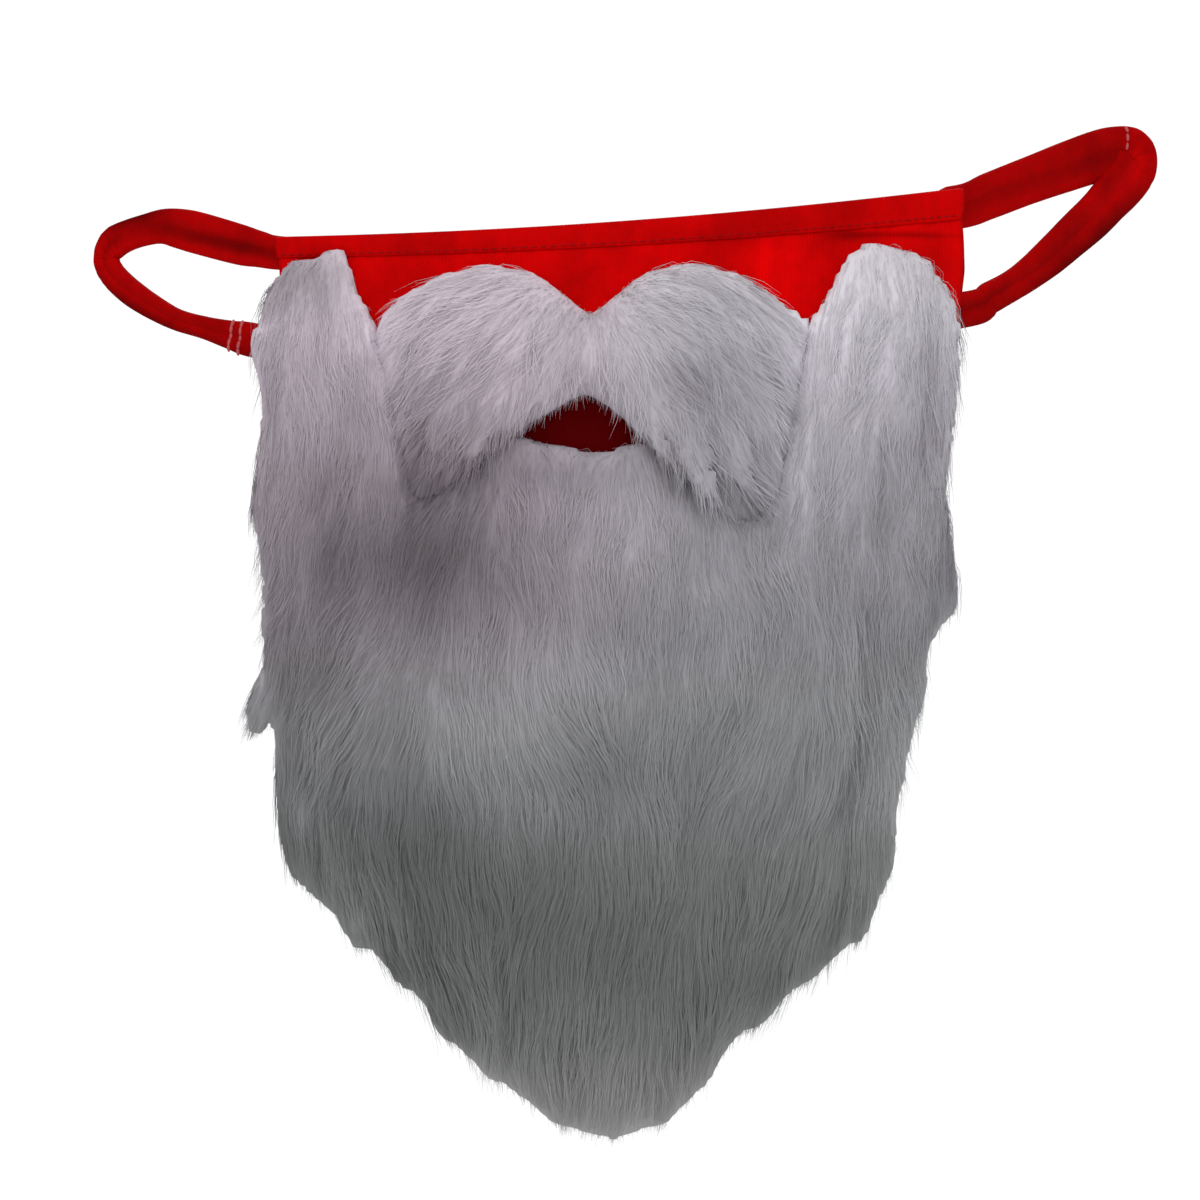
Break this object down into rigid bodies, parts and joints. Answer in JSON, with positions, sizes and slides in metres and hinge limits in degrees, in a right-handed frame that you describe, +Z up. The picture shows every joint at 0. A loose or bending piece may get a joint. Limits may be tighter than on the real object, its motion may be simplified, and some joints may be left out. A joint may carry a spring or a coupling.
{
  "type": "fake beard",
  "caption": "Costume beard and moustache of grey faux fur on a curved red cloth panel with a strap loop for each ear.",
  "frame": {"origin": "on the inner face of the cloth panel, at its middle, where it sits on the bridge of the nose", "axes": "+X to the viewer's right across the beard, +Y back to the wearer's face, +Z up"},
  "size_m": [0.3774, 0.1649, 0.3438],
  "materials": {
    "red_cloth": "brushed knit, matt",
    "red_tape": "folded knit tape, matt",
    "red_strap": "padded strap, matt",
    "grey_fur": "long soft pile, grey and white",
    "pale_fur": "long soft pile, nearly white"
  },
  "bodies": {
    "root": {"face_panel": "red_cloth", "top_tape": "red_tape", "ear_loop_left": "red_strap", "ear_loop_right": "red_strap", "beard_fur": "grey_fur", "moustache_fur": "pale_fur"}
  },
  "joints": []
}
